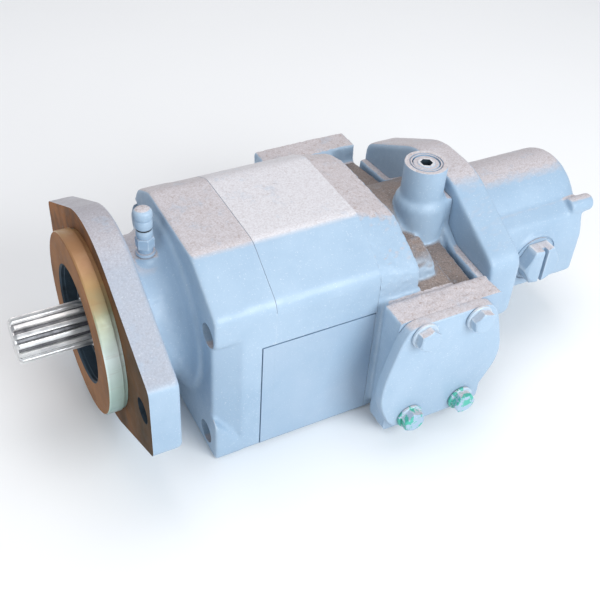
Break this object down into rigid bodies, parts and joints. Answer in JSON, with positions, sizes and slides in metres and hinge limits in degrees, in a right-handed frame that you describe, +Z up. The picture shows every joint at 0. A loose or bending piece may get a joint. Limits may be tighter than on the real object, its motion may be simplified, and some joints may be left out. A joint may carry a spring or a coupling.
{
  "type": "axial piston pump",
  "caption": "Variable axial piston pump with a splined drive shaft, a two-bolt flange, ribbed port block, bolted port cover and a gerotor charge pump behind it.",
  "frame": {"origin": "on the drive shaft's axis, in the face of the mounting flange", "axes": "+X along the shaft from the drive end to the charge pump, +Z up, -Y towards the side with the bolted port cover"},
  "size_m": [0.4446, 0.2402, 0.1683],
  "materials": {
    "paint": "light blue enamel over sand-cast iron, half gloss, rough where the casting is rough",
    "bright_steel": "ground and polished bearing steel",
    "dark_steel": "oiled, dark, machined steel",
    "bronze": "machined bearing bronze",
    "rubber": "matt nitrile rubber",
    "raw_iron": "machined grey iron"
  },
  "bodies": {
    "housing": {"mounting_flange": "paint", "front_housing": "paint", "rear_housing": "paint", "valve_block": "paint", "rear_plate": "paint", "charge_pump_housing": "paint", "cover_plate": "paint", "cover_bolt_1": "paint", "cover_bolt_2": "paint", "cover_bolt_3": "paint", "cover_bolt_4": "paint", "charge_plug": "paint", "vent_adapter": "paint", "vent_cap": "paint", "front_outer_race": "bright_steel", "rear_outer_race": "bright_steel", "servo_piston": "bright_steel", "boss_plug": "bright_steel", "seal_carrier": "dark_steel", "swash_plate": "dark_steel", "relief_spring": "dark_steel", "housing_bolt_1": "dark_steel", "housing_bolt_2": "dark_steel", "housing_bolt_3": "dark_steel", "housing_bolt_4": "dark_steel", "cradle_bearing_near": "bronze", "cradle_bearing_far": "bronze", "valve_plate": "bronze", "shaft_seal": "rubber", "cradle_carrier": "raw_iron"},
    "rotor": {"drive_shaft": "bright_steel", "front_inner_race": "bright_steel", "cylinder_block": "raw_iron", "piston_1": "bright_steel", "piston_2": "bright_steel", "piston_3": "bright_steel", "piston_4": "bright_steel", "piston_5": "bright_steel", "piston_6": "bright_steel", "piston_7": "bright_steel", "piston_8": "bright_steel", "piston_9": "bright_steel", "shoe_1": "bronze", "shoe_2": "bronze", "shoe_3": "bronze", "shoe_4": "bronze", "shoe_5": "bronze", "shoe_6": "bronze", "shoe_7": "bronze", "shoe_8": "bronze", "shoe_9": "bronze", "retainer_plate": "bright_steel", "ball_guide": "dark_steel", "block_spring": "dark_steel", "gerotor_rotor": "dark_steel"},
    "front_rollers": {"front_roller_cage": "bright_steel"},
    "rear_rollers": {"rear_roller_cage": "bright_steel"},
    "charge_ring": {"gerotor_ring": "raw_iron"},
    "relief_valve": {"relief_poppet": "bright_steel"},
    "charge_valve": {"charge_poppet": "bright_steel"}
  },
  "joints": [
    {"name": "shaft_spin", "type": "hinge", "parent": "housing", "child": "rotor", "pos_m": [0, 0, 0], "axis": [1, 0, 0], "continuous": true},
    {"name": "front_cage_spin", "type": "hinge", "parent": "housing", "child": "front_rollers", "pos_m": [0.027, 0, 0], "axis": [1, 0, 0], "continuous": true},
    {"name": "rear_cage_spin", "type": "hinge", "parent": "housing", "child": "rear_rollers", "pos_m": [0.1775, 0, 0], "axis": [1, 0, 0], "continuous": true},
    {"name": "charge_ring_spin", "type": "hinge", "parent": "housing", "child": "charge_ring", "pos_m": [0.31, 0, 0.0026], "axis": [1, 0, 0], "continuous": true},
    {"name": "relief_lift", "type": "slide", "parent": "housing", "child": "relief_valve", "axis": [0, 0, 1], "range_m": [0, 0.003], "stiffness_N_per_m": 800, "springref_m": -0.004, "deforming": ["relief_spring"]},
    {"name": "charge_relief_lift", "type": "slide", "parent": "housing", "child": "charge_valve", "axis": [0, -1, 0], "range_m": [0, 0.004], "stiffness_N_per_m": 800, "springref_m": -0.004}
  ],
  "couplings": [
    {"joint": "front_cage_spin", "follows": "shaft_spin", "ratio": 0.42},
    {"joint": "rear_cage_spin", "follows": "shaft_spin", "ratio": 0.3933},
    {"joint": "charge_ring_spin", "follows": "shaft_spin", "ratio": 0.85714}
  ]
}
